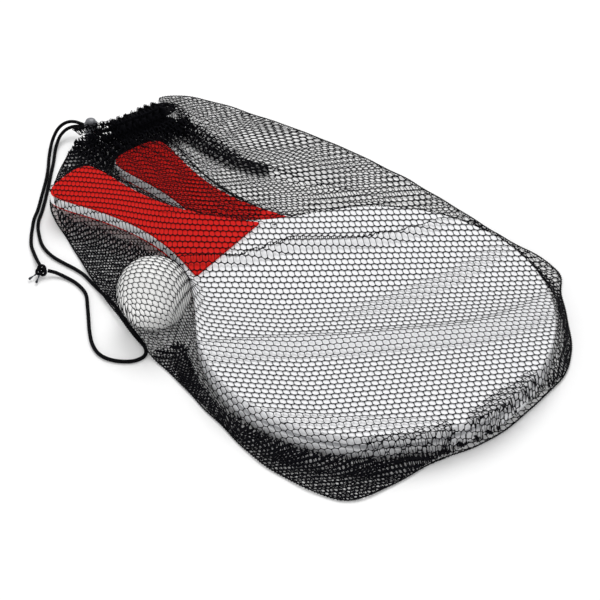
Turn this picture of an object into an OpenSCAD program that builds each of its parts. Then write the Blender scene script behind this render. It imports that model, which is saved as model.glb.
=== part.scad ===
// Beach paddle set packed flat in a drawstring net bag: two paddles fanned out on
// one another, a hollow ball beside them, the bag, its drawcord and its cord lock.
// +X runs from the mouth of the bag to its closed end, +Z is up, and z = 0 is the
// surface that the bag lies on. The origin is at the middle of the bag's footprint.

/* [Paddles] */
// Diameter of the round hitting face
head_d = 230; // [190:1:245]
// Length over the handle end and the far rim
paddle_l = 380; // [350:1:400]
// Thickness of the board
board_t = 7; // [5:0.5:9]
// Width of the handle at its narrowest
waist_w = 31.6; // [26:0.2:38]
// Width of the handle at its squared end
pommel_w = 43; // [36:0.5:52]
// Thickness of one grip scale
grip_t = 1.5; // [1:0.1:3]
// Bare margin of the board round a grip scale
grip_margin = 0.8; // [0.4:0.1:2]
// Distance from the middle of the face to the straight front edge of a grip scale
grip_front = 118; // [112:1:126]
// Width of a grip scale across its two front tips
grip_tip_w = 70; // [60:1:76]

/* [Ball] */
// Outside diameter of the ball
ball_d = 48; // [40:0.5:56]
// Wall of the hollow ball
ball_wall = 3.5; // [2:0.1:6]

/* [Net bag] */
// Thickness of the net
net_t = 0.9; // [0.6:0.1:1.5]
// Width of the sewn seams
seam_w = 2.5; // [1.5:0.1:4]
// Height at which the two nets meet in a seam
seam_h = 2.6; // [2.2:0.1:4]
// Slack between the net and what it wraps
net_slack = 1; // [0.6:0.1:3]

/* [Gathered hem] */
// Length of the drawn-up hem
hem_l = 42; // [28:1:50]
// Height of the hem
hem_h = 14; // [11:0.5:20]
// Number of pleats in each layer of the hem
hem_pleats = 7; // [4:1:9]
// Depth of a pleat from crest to crest
pleat_depth = 6.4; // [4:0.2:7]
// Thickness of the doubled hem cloth
hem_t = 1.2; // [0.8:0.1:1.6]

/* [Drawcord] */
// Diameter of the braided cord
cord_d = 2.5; // [1.5:0.1:2.6]
// Diameter of the knot
knot_d = 9; // [7:0.2:12]
// Length of the free cord ends behind the knot
cord_tail = 6; // [3:0.5:12]

/* [Cord lock] */
// Diameter of the lock body
lock_d = 10; // [9.5:0.5:14]
// Height of the lock body
lock_h = 15; // [14.5:0.5:18]
// Diameter of the plunger
plunger_d = 7.6; // [7.2:0.1:8]
// Height of the button above the body
button_h = 3.5; // [3:0.5:6]
// Travel of the button
button_travel = 2; // [1.5:0.1:2]
// Wire diameter of the spring
spring_wire = 0.4; // [0.3:0.05:0.5]
// Number of working turns in the spring
spring_turns = 3; // [2:1:4]

/* [Packing] */
// Angle between the two paddles
fan_angle = 14.3; // [8:0.1:17]
// Swing that the net leaves to each paddle, either way
paddle_play = 0.5; // [0.3:0.1:1.5]
// Gap between pieces that rest on one another
rest_gap = 0.3; // [0.2:0.05:0.6]

/* [Hidden] */
$fn = 64;

// Middle of the two paddle faces, seen from the origin
face_at = [89.3, -12.5];

// Heights, from the floor up
lower_z = net_t + rest_gap + grip_t;
grip_gap_z = lower_z + board_t + grip_t + rest_gap;
upper_z = grip_gap_z + grip_t;
upper_top = upper_z + board_t + grip_t;
lower_top = lower_z + board_t + grip_t;
ball_z = net_t + rest_gap + ball_d / 2;
ball_off = 5; // from the rim of the face to the ball, in plan
ball_at = (head_d / 2 + ball_off + ball_d / 2) * [cos(208.2), sin(208.2)];

// Paddle outline, measured from the middle of the face along the handle
handle_end = -(paddle_l - head_d / 2);
waist_x = handle_end + 70;
pommel_x = handle_end + 13;
throat_angle = 141;
throat_pull = 45 * head_d / 230;

// Colours
board_white = [0.93, 0.94, 0.95];
grip_red = [0.85, 0.08, 0.04];
ball_white = [0.96, 0.96, 0.95];
net_black = [0.10, 0.10, 0.12, 0.55];
hem_black = [0.05, 0.05, 0.06];
cord_black = [0.04, 0.04, 0.05];
lock_grey = [0.32, 0.33, 0.35];
steel = [0.75, 0.76, 0.78];

// A place beside the paddles follows the length of the handle and the round face
function beside(p) = [p.x < -115 ? -head_d / 2 + (p.x + 115) * (paddle_l - head_d) / 150 : p.x * head_d / 230,
  p.y * head_d / 230];

// A place beside the ball follows the ball
function beside_ball(p) = ball_at + ball_d / 48 * p;

// Drawn hem
hem_at = beside([-284, 78]);
hem_angle = 73;
hem_side = 4.2;
hem_bore_z = 7.5;
hem_reach = hem_side + pleat_depth / 2 + rest_gap; // from the middle of the hem to the nets

function mouth_point(s) = hem_at + s * [cos(hem_angle), sin(hem_angle)]
  + (hem_reach - seam_w) * [sin(hem_angle), -cos(hem_angle)];

// Footprint of the bag round the middle of the faces: along the near side, the
// closed end, the far side and the drawn mouth. The near side draws in where the
// cord passes it.
near_points = [[-284, 10], [-269, -12], [-250, -25], [-206, -46]];
far_points = [[-83, -104], [-34, -122], [10, -135.5], [48, -137], [74.5, -127.5],
  [95, -79], [114.9, -36], [120.4, 6], [121.5, 38], [108, 69], [79.5, 104.5], [61, 126],
  [8, 137], [-74, 155], [-150, 162.5], [-225, 160], [-272, 153]];
bag_points = concat([hem_at - [17, 33]], [for (p = near_points) beside(p)],
  [beside_ball([-36, 5]), beside_ball([7, -17])],
  [for (p = far_points) beside(p)], [hem_at + [-7, 59]],
  [for (k = [3 : -1 : 0]) mouth_point((hem_l + 10) * k / 3)], [hem_at - [17, 18]]);
bag_steps = 4;
bottom_from = 11; // index of the near corner of the closed end
bottom_to = 18;   // index of the far corner of the closed end
mouth_from = 24;  // index of the far ear of the mouth

// Cord lock, with its two strands one above the other
cord_shift = hem_at - [-284, 78]; // the cord and its lock keep their place at the hem
lock_at = [-298.5, 68.5] + cord_shift;
lock_foot = 0.4;
lock_base = 1.2;
lock_bore_z = 9.5;
strand_gap = 0.1;
z_low = lock_bore_z - cord_d / 2 - strand_gap / 2;
z_high = lock_bore_z + cord_d / 2 + strand_gap / 2;
slot_w = cord_d + 0.3;
slot_z0 = lock_bore_z - cord_d - strand_gap / 2 - 0.15;
slot_z1 = lock_bore_z + cord_d + strand_gap / 2 + 0.15;
plunger_foot = slot_z0 - 1.2;
z_floor = cord_d / 2 + 0.05; // strand lying on the floor

// Route of the short strand: hem, lock, arch and floor, as far as the knot
short_points = [
  [-288.06, 79.08, 7.5], [-289.1, 75.2, 8.1], [-290.2, 71.5, 9.6], [-292.8, 68.5, z_high],
  [-298.5, 68.5, z_high], [-304, 68.5, z_high], [-309, 68.5, z_high], [-313.5, 67.8, 11],
  [-317.3, 65, 11.2], [-319.3, 60.3, 10.8], [-319.8, 55, 9.2], [-318.5, 49, 6.8], [-316, 43, 4.4],
  [-312.5, 37, 2.4], [-307.5, 30, 1.4], [-301, 22, z_floor], [-292, 9.5, z_floor],
  [-281.5, -7, z_floor], [-273, -20.5, z_floor], [-268, -30, z_floor], [-262, -38.5, z_floor],
  [-255.5, -47, z_floor], [-249, -54, z_floor], [-241, -60, 1.7], [-233, -65.5, 3],
  [-226, -70, 4.3]];
// Route of the long strand: hem, lock, arch and floor, under the edge of the bag
// beside the ball, and back along the floor to the knot
long_points = [
  [-280.03, 76.63, 7.5], [-281.2, 73, 7.4], [-284, 70, 7.6], [-288.5, 68.6, z_low],
  [-293.5, 68.5, z_low], [-298.5, 68.5, z_low], [-304, 68.5, z_low], [-308.5, 68.4, z_low],
  [-312.4, 66.6, 8.1], [-315, 62.8, 8.1], [-316.2, 58, 7.3], [-315.8, 52, 5.6], [-313, 45, 3.2],
  [-309, 38.5, 2], [-302.5, 29.5, z_floor], [-295, 18.5, z_floor], [-286, 5.5, z_floor],
  [-277, -8, z_floor], [-269.5, -20, z_floor], [-264.5, -29, z_floor], [-259, -36, z_floor],
  [-252, -42.5, z_floor], [-244.5, -48.5, z_floor], [-236.5, -52.5, z_floor], [-227.5, -55, z_floor],
  [-217.5, -56, z_floor], [-207.5, -56.5, z_floor], [-198, -58, z_floor], [-188, -61.5, z_floor],
  [-178, -65, z_floor], [-167, -68.5, z_floor], [-156, -73, z_floor], [-145, -78.5, z_floor],
  [-134, -84, z_floor], [-123, -89, z_floor], [-115, -93.5, z_floor], [-111, -99.5, z_floor],
  [-113.5, -107, z_floor], [-121, -112.5, z_floor], [-129.5, -115, z_floor], [-138, -114, z_floor],
  [-147, -109, z_floor], [-156, -101, z_floor], [-165.5, -91, z_floor], [-175, -81, z_floor],
  [-182, -74, z_floor], [-189, -70, z_floor], [-198, -67.5, z_floor], [-207.5, -67.2, 1.7],
  [-214, -68.5, 3], [-218.5, -71, 4.3]];
short_rings = 26;
long_rings = 52;
knot_at = [-222 + cord_shift.x, -73.5 + cord_shift.y, knot_d / 2];
tail_dir_short = [-0.30, -0.92, -0.25];
tail_dir_long = [0.32, -0.91, -0.27];

// ---- Shapes shared by several pieces ----

function bezier(a, b, c, d, steps) = [for (i = [0 : steps]) let (t = i / steps, u = 1 - t)
  u * u * u * a + 3 * u * u * t * b + 3 * u * t * t * c + t * t * t * d];

function mirrored(half) = concat(half, [for (i = [len(half) - 1 : -1 : 0]) [half[i].x, -half[i].y]]);

function catmull(a, b, c, d, t) = 0.5 * (2 * b + (c - a) * t
  + (2 * a - 5 * b + 4 * c - d) * t * t + (3 * b - a - 3 * c + d) * t * t * t);

// Squared end of a handle, w wide, whose corners are a superellipse
function squared_end(x, depth, w, steps = 10) = [for (i = [0 : steps]) let (a = 90 * i / steps)
  [x - depth * pow(cos(a), 2 / 3), w / 2 * pow(sin(a), 2 / 3)]];

function pommel_curve(w_end, w_waist) = bezier([pommel_x, w_end / 2], [pommel_x + 14, w_end / 2],
  [waist_x - 28, w_waist / 2], [waist_x, w_waist / 2], 8);

face_r = head_d / 2;
throat_end = face_r * [cos(throat_angle), sin(throat_angle)];
throat_dir = [sin(throat_angle), -cos(throat_angle)];

// Handle of a board, from its end to where it runs into the round face
function handle_half() = concat(squared_end(pommel_x, 13, pommel_w),
  pommel_curve(pommel_w, waist_w),
  bezier([waist_x, waist_w / 2], [-head_d / 2 - 25, waist_w / 2],
         throat_end - throat_pull * throat_dir, throat_end, 12));

// Grip scale: the handle's outline less the margin, cut straight across in front
function grip_half() = let (m = grip_margin, w = waist_w / 2 - m) concat(
  squared_end(pommel_x, 13 - m, pommel_w - 2 * m),
  pommel_curve(pommel_w - 2 * m, waist_w - 2 * m),
  bezier([waist_x, w], [-grip_front - 47, w], [-grip_front - 22, grip_tip_w / 2 - 10],
         [-grip_front - 1.5, grip_tip_w / 2 - 0.5], 12),
  [[-grip_front - 0.4, grip_tip_w / 2 - 0.7], [-grip_front, grip_tip_w / 2 - 2]]);

module on_plan() translate([face_at.x, face_at.y, 0]) children();

module board() {
  color(board_white) {
    cylinder(d = head_d, h = board_t, $fn = 128);
    linear_extrude(board_t) polygon(mirrored(handle_half()));
  }
}

module grip_scale() {
  color(grip_red) linear_extrude(grip_t) polygon(mirrored(grip_half()));
}

// ---- Paddles ----

module upper_paddle_place() on_plan() translate([0, 0, upper_z]) children();

module lower_paddle_place() on_plan() translate([0, 0, lower_z]) rotate([0, 0, -fan_angle]) children();

module upper_board() upper_paddle_place() board();

module upper_grip_top() upper_paddle_place() translate([0, 0, board_t]) grip_scale();

module upper_grip_bottom() upper_paddle_place() translate([0, 0, -grip_t]) grip_scale();

module lower_board() lower_paddle_place() board();

module lower_grip_top() lower_paddle_place() translate([0, 0, board_t]) grip_scale();

module lower_grip_bottom() lower_paddle_place() translate([0, 0, -grip_t]) grip_scale();

module ball() {
  color(ball_white) on_plan() translate([ball_at.x, ball_at.y, ball_z]) difference() {
    sphere(d = ball_d);
    sphere(d = ball_d - 2 * ball_wall);
  }
}

// ---- Net bag ----

bag_count = len(bag_points);

function bag_point(i) = bag_points[(i + bag_count) % bag_count];

bag_outline = [for (i = [0 : bag_count - 1]) for (k = [0 : bag_steps - 1])
  catmull(bag_point(i - 1), bag_point(i), bag_point(i + 1), bag_point(i + 2), k / bag_steps)];

outline_count = len(bag_outline);

function outward(i) = let (
  d = bag_outline[(i + 1) % outline_count] - bag_outline[(i + outline_count - 1) % outline_count])
  [d.y, -d.x] / norm(d);

function inset_point(i, by) = bag_outline[i % outline_count] - by * outward(i % outline_count);

function inset_outline(by) = [for (i = [0 : outline_count - 1]) inset_point(i, by)];

// Strip of the footprint between two control points, as wide as a seam
function seam_strip(from, to) = let (first = from * bag_steps, last = to * bag_steps) concat(
  [for (i = [first : last]) inset_point(i, 0)], [for (i = [last : -1 : first]) inset_point(i, seam_w)]);

// Part of the footprint between two control points, for a tent's floor
function outline_part(from, to, by) = [for (i = [from * bag_steps : to * bag_steps]) inset_point(i, by)];

module seam(from, to) {
  color(hem_black) on_plan() linear_extrude(seam_h) polygon(seam_strip(from, to));
}

// Room that a swinging handle takes between two heights
module handle_room(from, to, more) translate([0, 0, from]) {
  swing = (paddle_l - head_d / 2) * sin(paddle_play);
  end_half = pommel_w / 2 + swing + more;
  throat_half = face_r * 0.56 + more;
  linear_extrude(to - from) polygon([
    [handle_end - more, 7 - end_half], [handle_end + 7 - more, -end_half],
    [-face_r - 40, -end_half - 4], [20 - face_r, -throat_half],
    [20 - face_r, throat_half], [-face_r - 40, end_half + 4],
    [handle_end + 7 - more, end_half], [handle_end - more, end_half - 7]]);
}

// Space under the top net. It is drawn twice, and more is the net's slack inside
// and the slack and its thickness outside.
module net_tents(more, by) {
  low = seam_h - net_t + (more - net_slack);
  hull() {
    cylinder(r = face_r + more, h = upper_z + board_t + more, $fn = 72);
    linear_extrude(low) polygon(outline_part(8, 20, by));
  }
  intersection() {
    handle_room(0, upper_top + more, more);
    linear_extrude(100) polygon(inset_outline(by));
  }
  hull() {
    handle_room(upper_z - grip_t - more, upper_top + more, more);
    linear_extrude(low) polygon(concat(outline_part(0, 6, by), [[-face_r, 20], [handle_end + 30, 20]]));
  }
  hull() {
    rotate([0, 0, -fan_angle]) handle_room(0, lower_top + more, more);
    linear_extrude(low) polygon(outline_part(20, mouth_from, by));
  }
  hull() {
    translate([ball_at.x, ball_at.y, ball_z]) sphere(r = ball_d / 2 + more, $fn = 36);
    linear_extrude(low) polygon(outline_part(4, 7, by));
  }
  hull() {
    translate([handle_end + 30 - more, -5 - more, 0]) cube([10, 70 + 2 * more, upper_top + more - 2]);
    translate([hem_at.x, hem_at.y, 0]) rotate([0, 0, hem_angle])
      translate([net_slack - more, -hem_reach - 1, 0])
      cube([hem_l + 2 * (more - net_slack), 1, hem_h - 3 + (more - net_slack)]);
  }
}

module bag_top_net() {
  outer = net_slack + net_t;
  color(net_black) on_plan() difference() {
    intersection() {
      union() {
        net_tents(outer, seam_w);
        linear_extrude(seam_h) polygon(inset_outline(seam_w));
      }
      union() {
        linear_extrude(100) polygon(inset_outline(seam_w));
        translate([ball_at.x, ball_at.y, seam_h]) cylinder(r = ball_d / 2 + outer, h = 100);
        handle_room(seam_h, 100, outer);
      }
      translate([-500, -500, net_t]) cube([1000, 1000, 200]);
    }
    intersection() {
      union() {
        net_tents(net_slack, seam_w + net_t);
        linear_extrude(seam_h - net_t) polygon(inset_outline(seam_w + net_t));
      }
      union() {
        linear_extrude(100) polygon(inset_outline(seam_w + net_t));
        translate([ball_at.x, ball_at.y, seam_h]) cylinder(r = ball_d / 2 + net_slack, h = 100);
        handle_room(seam_h, 100, net_slack);
      }
    }
  }
}

module bag_bottom_net() {
  color(net_black) on_plan() linear_extrude(net_t) polygon(inset_outline(seam_w));
}

module side_seam_near() seam(0, bottom_from);

module side_seam_far() seam(bottom_to, mouth_from);

module bottom_seam() seam(bottom_from, bottom_to);

// ---- Gathered hem ----

pleat_pitch = hem_l / hem_pleats;

function pleat_centre(s) = [s, (pleat_depth - hem_t) / 2 * sin(360 * s / pleat_pitch)];

function pleat_edge(side) = let (steps = hem_pleats * 8) [for (i = [0 : steps]) let (
  s = hem_l * i / steps, d = pleat_centre(s + 0.05) - pleat_centre(s - 0.05))
  pleat_centre(s) + side * hem_t / 2 * [-d.y, d.x] / norm(d)];

module in_hem() on_plan() translate([hem_at.x, hem_at.y, 0]) rotate([0, 0, hem_angle]) children();

module hem_layer(side) {
  color(hem_black) in_hem() translate([0, side * hem_side, 0]) difference() {
    linear_extrude(hem_h) polygon(concat(pleat_edge(1), [for (i = [hem_pleats * 8 : -1 : 0]) pleat_edge(-1)[i]]));
    translate([-5, 0, hem_bore_z]) rotate([0, 90, 0]) cylinder(d = cord_d + 0.2, h = hem_l + 10, $fn = 32);
  }
}

module hem_top_layer() hem_layer(1);

module hem_bottom_layer() hem_layer(-1);

// The cord runs out through one layer of the hem, turns and comes back in the other
module cord_in_hem() {
  turn_at = hem_l + 0.5;
  color(cord_black) in_hem() translate([0, 0, hem_bore_z]) {
    for (side = [-1, 1]) translate([0, side * hem_side, 0]) rotate([0, 90, 0])
      cylinder(d = cord_d, h = turn_at, $fn = 32);
    translate([turn_at, 0, 0]) rotate([0, 0, -90]) rotate_extrude(angle = 180, $fn = 48)
      translate([hem_side, 0]) circle(d = cord_d, $fn = 32);
  }
}

// ---- Drawcord ----

cord_sides = 8;

function route_point(p, u) = let (n = len(p) - 1, i = min(floor(u), n - 1), t = u - i)
  catmull(i > 0 ? p[i - 1] : 2 * p[0] - p[1], p[i], p[i + 1],
          i + 2 <= n ? p[i + 2] : 2 * p[n] - p[n - 1], t);

function route_dir(p, u) = let (n = len(p) - 1, d = route_point(p, min(u + 0.05, n)) - route_point(p, max(u - 0.05, 0)))
  d / norm(d);

function ring(p, u) = let (d = route_dir(p, u), s = cross(d, [0, 0, 1]), side = s / norm(s), up = cross(side, d))
  [for (k = [0 : cord_sides - 1]) let (a = 360 * (k + 0.5) / cord_sides)
    route_point(p, u) + cord_d / 2 * (cos(a) * side + sin(a) * up)];

module cord_along(p, rings) {
  n = len(p) - 1;
  m = cord_sides;
  points = [for (r = [0 : rings - 1]) each ring(p, n * r / (rings - 1))];
  sides = [for (r = [0 : rings - 2]) for (k = [0 : m - 1]) let (a = r * m, b = a + m, j = (k + 1) % m)
    each [[a + k, a + j, b + j], [a + k, b + j, b + k]]];
  start = [for (k = [m - 1 : -1 : 0]) k];
  end = [for (k = [0 : m - 1]) (rings - 1) * m + k];
  color(cord_black) on_plan() translate([cord_shift.x, cord_shift.y, 0])
    polyhedron(points, concat(sides, [start, end]));
}

module cord_short_strand() cord_along(short_points, short_rings);

module cord_long_strand() cord_along(long_points, long_rings);

// Drawn-up overhand knot: one closed tube that winds twice round while it dips three
// times through the middle. The pull of the knot has squeezed the cord thinner.
knot_cord_d = cord_d * 0.8;
knot_step = (knot_d - knot_cord_d) / 6;

function knot_point(a) = knot_step * [(2 + cos(3 * a)) * cos(2 * a), (2 + cos(3 * a)) * sin(2 * a), sin(3 * a)];

function knot_ring(a) = let (
  core = knot_step * 2 * [cos(2 * a), sin(2 * a), 0],
  d = knot_point(a + 0.5) - knot_point(a - 0.5),
  out = (knot_point(a) - core) / knot_step,
  up = cross(d / norm(d), out))
  [for (k = [0 : cord_sides - 1]) let (b = 360 * k / cord_sides)
    knot_point(a) + knot_cord_d / 2 * (cos(b) * out + sin(b) * up / norm(up))];

module cord_knot() {
  rings = 42;
  m = cord_sides;
  points = [for (r = [0 : rings - 1]) each knot_ring(360 * r / rings)];
  sides = [for (r = [0 : rings - 1]) for (k = [0 : m - 1]) let (a = r * m, b = (r + 1) % rings * m, j = (k + 1) % m)
    each [[a + j, a + k, b + j], [b + j, a + k, b + k]]];
  color(cord_black) on_plan() translate(knot_at) rotate([35, 20, 0]) polyhedron(points, sides);
}

module cord_tail(dir) {
  yaw = atan2(dir.y, dir.x);
  pitch = acos(dir.z / norm(dir));
  color(cord_black) on_plan() translate(knot_at) rotate([0, pitch, yaw])
    translate([0, 0, knot_d / 2 + 0.05]) cylinder(d = cord_d, h = cord_tail, $fn = 24);
}

module cord_tail_short() cord_tail(tail_dir_short);

module cord_tail_long() cord_tail(tail_dir_long);

// ---- Cord lock ----

module in_lock() on_plan() translate([lock_at.x, lock_at.y, 0]) children();

// Slot that the two strands pass through, from z0 to z1
module strand_slot(z0, z1) {
  for (z = [z0 + slot_w / 2, z1 - slot_w / 2]) translate([-20, 0, z]) rotate([0, 90, 0])
    cylinder(d = slot_w, h = 40, $fn = 32);
  translate([-20, -slot_w / 2, z0 + slot_w / 2]) cube([40, slot_w, z1 - z0 - slot_w]);
}

module lock_body() {
  round_r = 1.6;
  color(lock_grey) in_lock() difference() {
    translate([0, 0, lock_foot]) rotate_extrude() difference() {
      union() {
        square([lock_d / 2 - round_r, lock_h]);
        translate([0, round_r]) square([lock_d / 2, lock_h - round_r - 0.6]);
        translate([lock_d / 2 - round_r, round_r]) circle(round_r, $fn = 40);
        square([lock_d / 2 - 0.6, lock_h]);
      }
      translate([-20, -5]) square([20, 40]);
      translate([0, -5]) square([lock_d, 5]);
    }
    translate([0, 0, lock_foot + lock_base]) cylinder(d = plunger_d + 0.2, h = lock_h);
    strand_slot(slot_z0, slot_z1);
  }
}

module lock_plunger() {
  top = lock_foot + lock_h + button_h;
  dome_r = plunger_d / 2;
  color(lock_grey) in_lock() difference() {
    union() {
      translate([0, 0, plunger_foot]) cylinder(d = plunger_d, h = top - dome_r * 0.55 - plunger_foot);
      translate([0, 0, top - dome_r * 0.55]) rotate_extrude() intersection() {
        scale([1, 0.55]) circle(dome_r);
        square(dome_r);
      }
    }
    strand_slot(slot_z0, slot_z1 + button_travel);
    translate([0, 0, plunger_foot - 1]) cylinder(d = plunger_d - 2.4, h = 1.6);
  }
}

// Coil spring between the floor of the body and the plunger
module lock_spring() {
  z0 = lock_foot + lock_base + spring_wire / 2 + 0.05;
  z1 = plunger_foot + 0.6 - spring_wire / 2 - 0.05;
  r = (plunger_d - 2.4) / 2 - spring_wire / 2 - 0.2;
  rings = spring_turns * 12 + 1;
  m = 6;
  points = [for (i = [0 : rings - 1]) let (a = 30 * i, z = z0 + (z1 - z0) * i / (rings - 1))
    for (k = [0 : m - 1]) let (b = 60 * k, q = r + spring_wire / 2 * cos(b))
      [q * cos(a), q * sin(a), z + spring_wire / 2 * sin(b)]];
  sides = [for (i = [0 : rings - 2]) for (k = [0 : m - 1]) let (a = i * m, b = a + m, j = (k + 1) % m)
    each [[a + j, a + k, b + j], [b + j, a + k, b + k]]];
  ends = [[for (k = [0 : m - 1]) k], [for (k = [m - 1 : -1 : 0]) (rings - 1) * m + k]];
  echo(spring_gap = (z1 - z0) / spring_turns - spring_wire);
  color(steel) in_lock() polyhedron(points, concat(sides, ends));
}

upper_board();
upper_grip_top();
upper_grip_bottom();
lower_board();
lower_grip_top();
lower_grip_bottom();
ball();
bag_top_net();
bag_bottom_net();
side_seam_near();
side_seam_far();
bottom_seam();
hem_top_layer();
hem_bottom_layer();
cord_in_hem();
cord_short_strand();
cord_long_strand();
cord_knot();
cord_tail_short();
cord_tail_long();
lock_body();
lock_plunger();
lock_spring();
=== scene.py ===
import math

import bmesh
import bpy
import numpy as np
from mathutils import Matrix, Vector
from mathutils.bvhtree import BVHTree


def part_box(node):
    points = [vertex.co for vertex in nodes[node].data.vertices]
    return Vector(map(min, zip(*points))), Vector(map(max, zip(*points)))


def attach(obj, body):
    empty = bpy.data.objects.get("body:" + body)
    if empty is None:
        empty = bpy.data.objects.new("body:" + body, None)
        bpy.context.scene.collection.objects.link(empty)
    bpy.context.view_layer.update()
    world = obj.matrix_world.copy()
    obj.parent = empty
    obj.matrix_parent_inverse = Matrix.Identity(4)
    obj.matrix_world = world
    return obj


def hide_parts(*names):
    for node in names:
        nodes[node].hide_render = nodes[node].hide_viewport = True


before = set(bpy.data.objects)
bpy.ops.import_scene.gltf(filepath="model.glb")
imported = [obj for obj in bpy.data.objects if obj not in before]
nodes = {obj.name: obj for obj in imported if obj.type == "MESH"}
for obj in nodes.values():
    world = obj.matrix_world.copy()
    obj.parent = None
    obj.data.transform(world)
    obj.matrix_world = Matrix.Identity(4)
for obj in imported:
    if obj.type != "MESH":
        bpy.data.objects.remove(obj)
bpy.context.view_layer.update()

mm = 0.001
faceAt = Vector((89.3, -12.5, 0))  # middle of the paddle faces, from the origin, in mm


def added(tree, kind, inputs=None, **settings):  # a new node; an input is a value or the socket that feeds it
    node = tree.nodes.new(kind)
    for name, value in settings.items():
        setattr(node, name, value)
    for socket, value in (inputs or {}).items():
        if isinstance(value, bpy.types.NodeSocket):
            tree.links.new(value, node.inputs[socket])
        else:
            node.inputs[socket].default_value = value
    return node


def worked(tree, operation, *values):  # the result of a Math node
    return added(tree, "ShaderNodeMath", dict(enumerate(values)), operation=operation).outputs[0]


def linked(name, data):  # a new object in the scene
    made = bpy.data.objects.new(name, data)
    bpy.context.scene.collection.objects.link(made)
    return made


def startMaterial(name):
    made = bpy.data.materials.new(name)
    made.use_nodes = True
    made.node_tree.nodes.clear()
    return made, made.node_tree


def shaded(tree, inputs):
    shader = added(tree, "ShaderNodeBsdfPrincipled", inputs)
    added(tree, "ShaderNodeOutputMaterial", {"Surface": shader.outputs["BSDF"]})


# Camera, floor and light

cameraValues = {
    "target": (27.0, -9.0, 0), "distance": 1267.6, "lens": 114.735, "sensor": 36, "clipEnd": 20,
    "azimuth": 36.875, "elevation": 39.477, "roll": -1.753,
}
studioValues = {
    "floorSize": 6.0, "floorColour": (0.93, 0.93, 0.93), "floorRoughness": 0.9,
    "cameraGlow": 0.05, "skyGlow": 0.67,
    "lamps": [
        {"name": "softbox", "at": (-0.7, 1.25, 2.15), "size": 1.7, "power": 34},
        {"name": "fillBox", "at": (0.55, -1.75, 0.5), "size": 1.2, "power": 9},
    ],
}


def makeCamera(v):
    a, e, r = (math.radians(v[k]) for k in ("azimuth", "elevation", "roll"))
    look = Vector((-math.sin(a) * math.cos(e), math.cos(a) * math.cos(e), -math.sin(e)))
    right = Vector((math.cos(a), math.sin(a), 0))
    up = right.cross(look)
    right, up = math.cos(r) * right + math.sin(r) * up, -math.sin(r) * right + math.cos(r) * up
    turn = Matrix((right, up, -look)).transposed()
    data = bpy.data.cameras.new("camera")
    data.lens, data.sensor_width, data.clip_end = v["lens"], v["sensor"], v["clipEnd"]
    camera = linked("camera", data)
    place = Vector(v["target"]) * mm - look * v["distance"] * mm
    camera.matrix_world = Matrix.Translation(place) @ turn.to_4x4()
    bpy.context.scene.camera = camera


def makeSky(v):  # white to the eye, and less bright where it lights the object
    world = bpy.data.worlds.new("studio")
    bpy.context.scene.world = world
    world.use_nodes = True
    tree = world.node_tree
    rays = added(tree, "ShaderNodeLightPath").outputs
    seen = worked(tree, "MAXIMUM", rays["Is Camera Ray"], rays["Is Transmission Ray"])
    strength = added(tree, "ShaderNodeMapRange", {"To Min": v["skyGlow"], "To Max": 1.0, "Value": seen})
    sky = tree.nodes["Background"]
    sky.inputs["Color"].default_value = (1, 1, 1, 1)
    tree.links.new(strength.outputs[0], sky.inputs["Strength"])


def makeFloor(v):
    bm = bmesh.new()
    bmesh.ops.create_grid(bm, x_segments=1, y_segments=1, size=v["floorSize"] / 2)
    mesh = bpy.data.meshes.new("floor")
    bm.to_mesh(mesh)
    bm.free()
    linked("floor", mesh)
    made, tree = startMaterial("whiteFloor")
    rays = added(tree, "ShaderNodeLightPath").outputs
    shaded(tree, {
        "Base Color": (*v["floorColour"], 1), "Roughness": v["floorRoughness"], "Specular IOR Level": 0,
        "Emission Color": (1, 1, 1, 1),
        "Emission Strength": worked(tree, "MULTIPLY", rays["Is Camera Ray"], v["cameraGlow"])})
    mesh.materials.append(made)


def makeLamps(v):
    for one in v["lamps"]:
        lamp = bpy.data.lights.new(one["name"], "AREA")
        lamp.shape, lamp.size, lamp.energy = "DISK", one["size"], one["power"]
        box = linked(one["name"], lamp)
        box.location = one["at"]
        box.rotation_mode = "QUATERNION"
        box.rotation_quaternion = Vector(one["at"]).to_track_quat("Z", "Y")


bpy.context.scene.view_settings.view_transform = "Standard"
makeCamera(cameraValues)
makeSky(studioValues)
makeFloor(studioValues)
makeLamps(studioValues)
print("camera and studio ready")


# Shared helpers

def addPiece(name, mesh, node, finish, body="bag"):  # a piece that is drawn in place of a node
    piece = linked(name, mesh)
    mesh.materials.clear()
    mesh.materials.append(finishes[finish])
    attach(piece, body)
    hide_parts(node)
    return piece


def finished(bm, name):
    mesh = bpy.data.meshes.new(name)
    bm.to_mesh(mesh)
    bm.free()
    mesh.polygons.foreach_set("use_smooth", [True] * len(mesh.polygons))
    return mesh


def throughModifiers(mesh, *settings):
    holder = linked("holder", mesh)
    for kind, values in settings:
        modifier = holder.modifiers.new(kind, kind)
        for key, value in values.items():
            setattr(modifier, key, value)
    depsgraph = bpy.context.evaluated_depsgraph_get()
    result = bpy.data.meshes.new_from_object(holder.evaluated_get(depsgraph))
    bpy.data.objects.remove(holder)
    return result


def thickened(mesh, wall, offset=0):
    return throughModifiers(mesh, ("SOLIDIFY", {"thickness": wall * mm, "offset": offset}))


def repeated(mesh, merge, *rows):
    return throughModifiers(mesh, *[("ARRAY", {
        "use_relative_offset": False, "use_constant_offset": True, "constant_offset_displace": step,
        "count": count, "use_merge_vertices": True, "merge_threshold": merge}) for count, step in rows])


def meshPlaces(mesh):
    places = np.empty(len(mesh.vertices) * 3)
    mesh.vertices.foreach_get("co", places)
    return places.reshape(-1, 3)


def setPlaces(mesh, places):
    mesh.vertices.foreach_set("co", np.ascontiguousarray(places, dtype=np.float64).ravel())
    mesh.update()


def inMetres(places):  # from mm about the middle of the faces
    return (np.array(places) + np.array(faceAt)) * mm


def wayAt(degrees):
    return np.array((math.cos(math.radians(degrees)), math.sin(math.radians(degrees))))


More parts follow.
